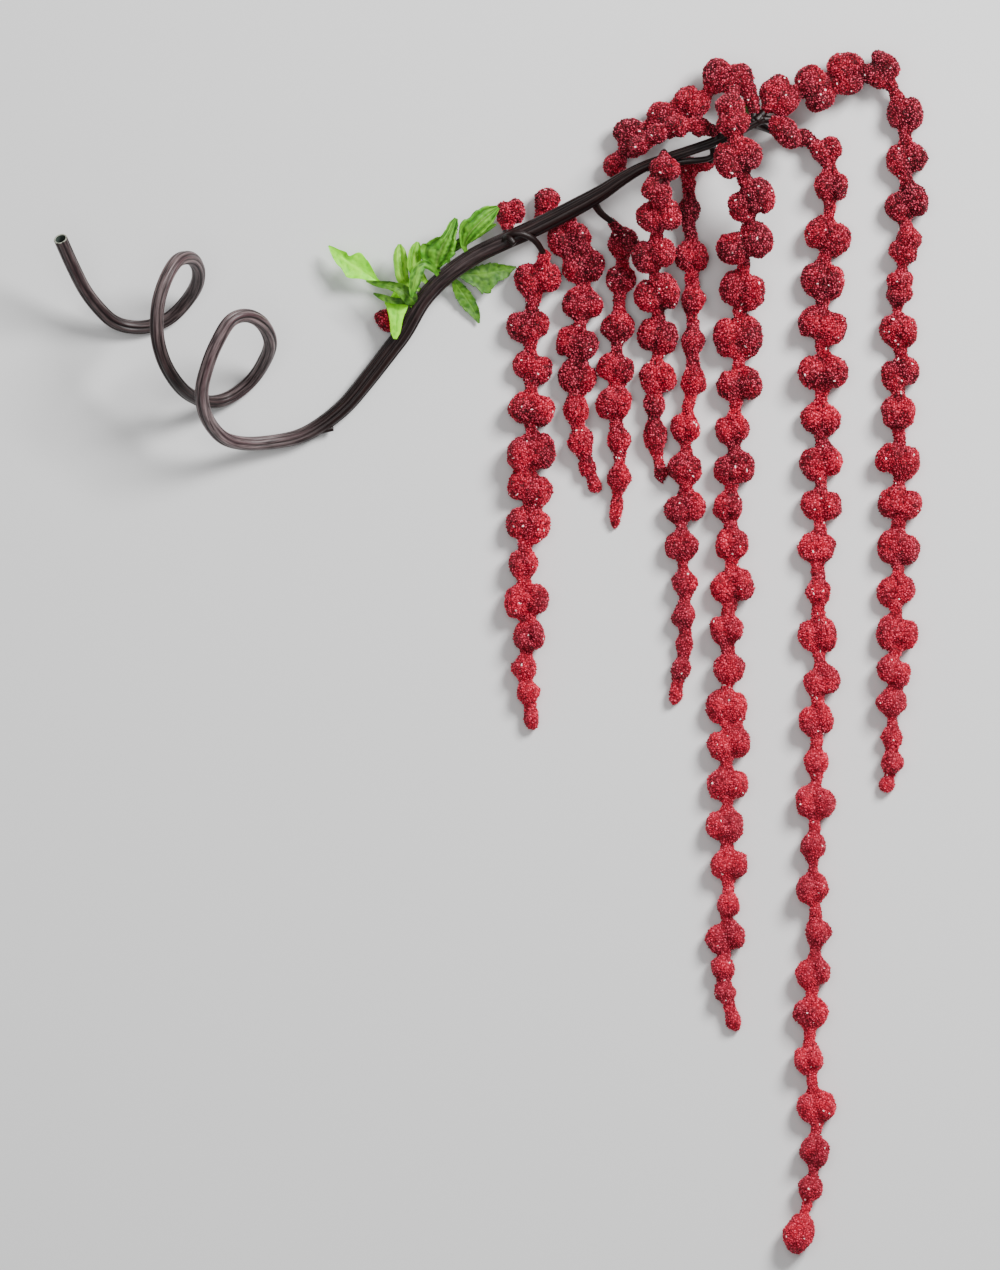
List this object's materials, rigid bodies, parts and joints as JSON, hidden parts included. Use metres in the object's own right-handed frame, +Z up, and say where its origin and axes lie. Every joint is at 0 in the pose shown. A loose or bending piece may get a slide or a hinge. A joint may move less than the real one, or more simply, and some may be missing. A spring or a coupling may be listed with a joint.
{
  "type": "dried amaranth stem",
  "caption": "Cut stem of dried hanging amaranth lying on a surface: a curled hollow stem, crimson bead-like flower strands and green leaves.",
  "frame": {"origin": "on the surface, under the middle of the whole plant's box", "axes": "+X along the stem from its curled cut end towards the fork, +Y from the strands' tips back to the stem, +Z up from the surface"},
  "size_m": [0.3932, 0.5434, 0.0553],
  "materials": {
    "stem": "dried ribbed stem, semi-gloss",
    "strand_1": "dried flower grain, matte",
    "strand_2": "dried flower grain, matte",
    "strand_3": "dried flower grain, matte",
    "strand_4": "dried flower grain, matte",
    "strand_5": "dried flower grain, matte",
    "strand_6": "dried flower grain, matte",
    "strand_7": "dried flower grain, matte",
    "strand_8": "dried flower grain, matte",
    "crown_strand": "dried flower grain, matte",
    "crown_low": "dried flower grain, matte",
    "bud_end": "dried flower grain, matte",
    "bud_upper": "dried flower grain, matte",
    "bud_under": "dried flower grain, matte",
    "bud_low": "dried flower grain, matte",
    "leaf_1": "leaf, soft sheen",
    "leaf_2": "leaf, soft sheen",
    "leaf_3": "leaf, soft sheen",
    "leaf_4": "leaf, soft sheen",
    "leaf_5": "leaf, soft sheen",
    "leaf_6": "leaf, soft sheen",
    "leaf_7": "leaf, soft sheen",
    "leaf_8": "leaf, soft sheen",
    "leaf_9": "leaf, soft sheen",
    "leaf_10": "leaf, soft sheen",
    "leaf_11": "leaf, soft sheen",
    "leaf_12": "leaf, soft sheen",
    "leaf_13": "leaf, soft sheen"
  },
  "bodies": {
    "root": {"stem": "stem", "strand_1": "strand_1", "strand_2": "strand_2", "strand_3": "strand_3", "strand_4": "strand_4", "strand_5": "strand_5", "strand_6": "strand_6", "strand_7": "strand_7", "strand_8": "strand_8", "crown_strand": "crown_strand", "crown_low": "crown_low", "bud_end": "bud_end", "bud_upper": "bud_upper", "bud_under": "bud_under", "bud_low": "bud_low", "leaf_1": "leaf_1", "leaf_2": "leaf_2", "leaf_3": "leaf_3", "leaf_4": "leaf_4", "leaf_5": "leaf_5", "leaf_6": "leaf_6", "leaf_7": "leaf_7", "leaf_8": "leaf_8", "leaf_9": "leaf_9", "leaf_10": "leaf_10", "leaf_11": "leaf_11", "leaf_12": "leaf_12", "leaf_13": "leaf_13"}
  },
  "joints": []
}
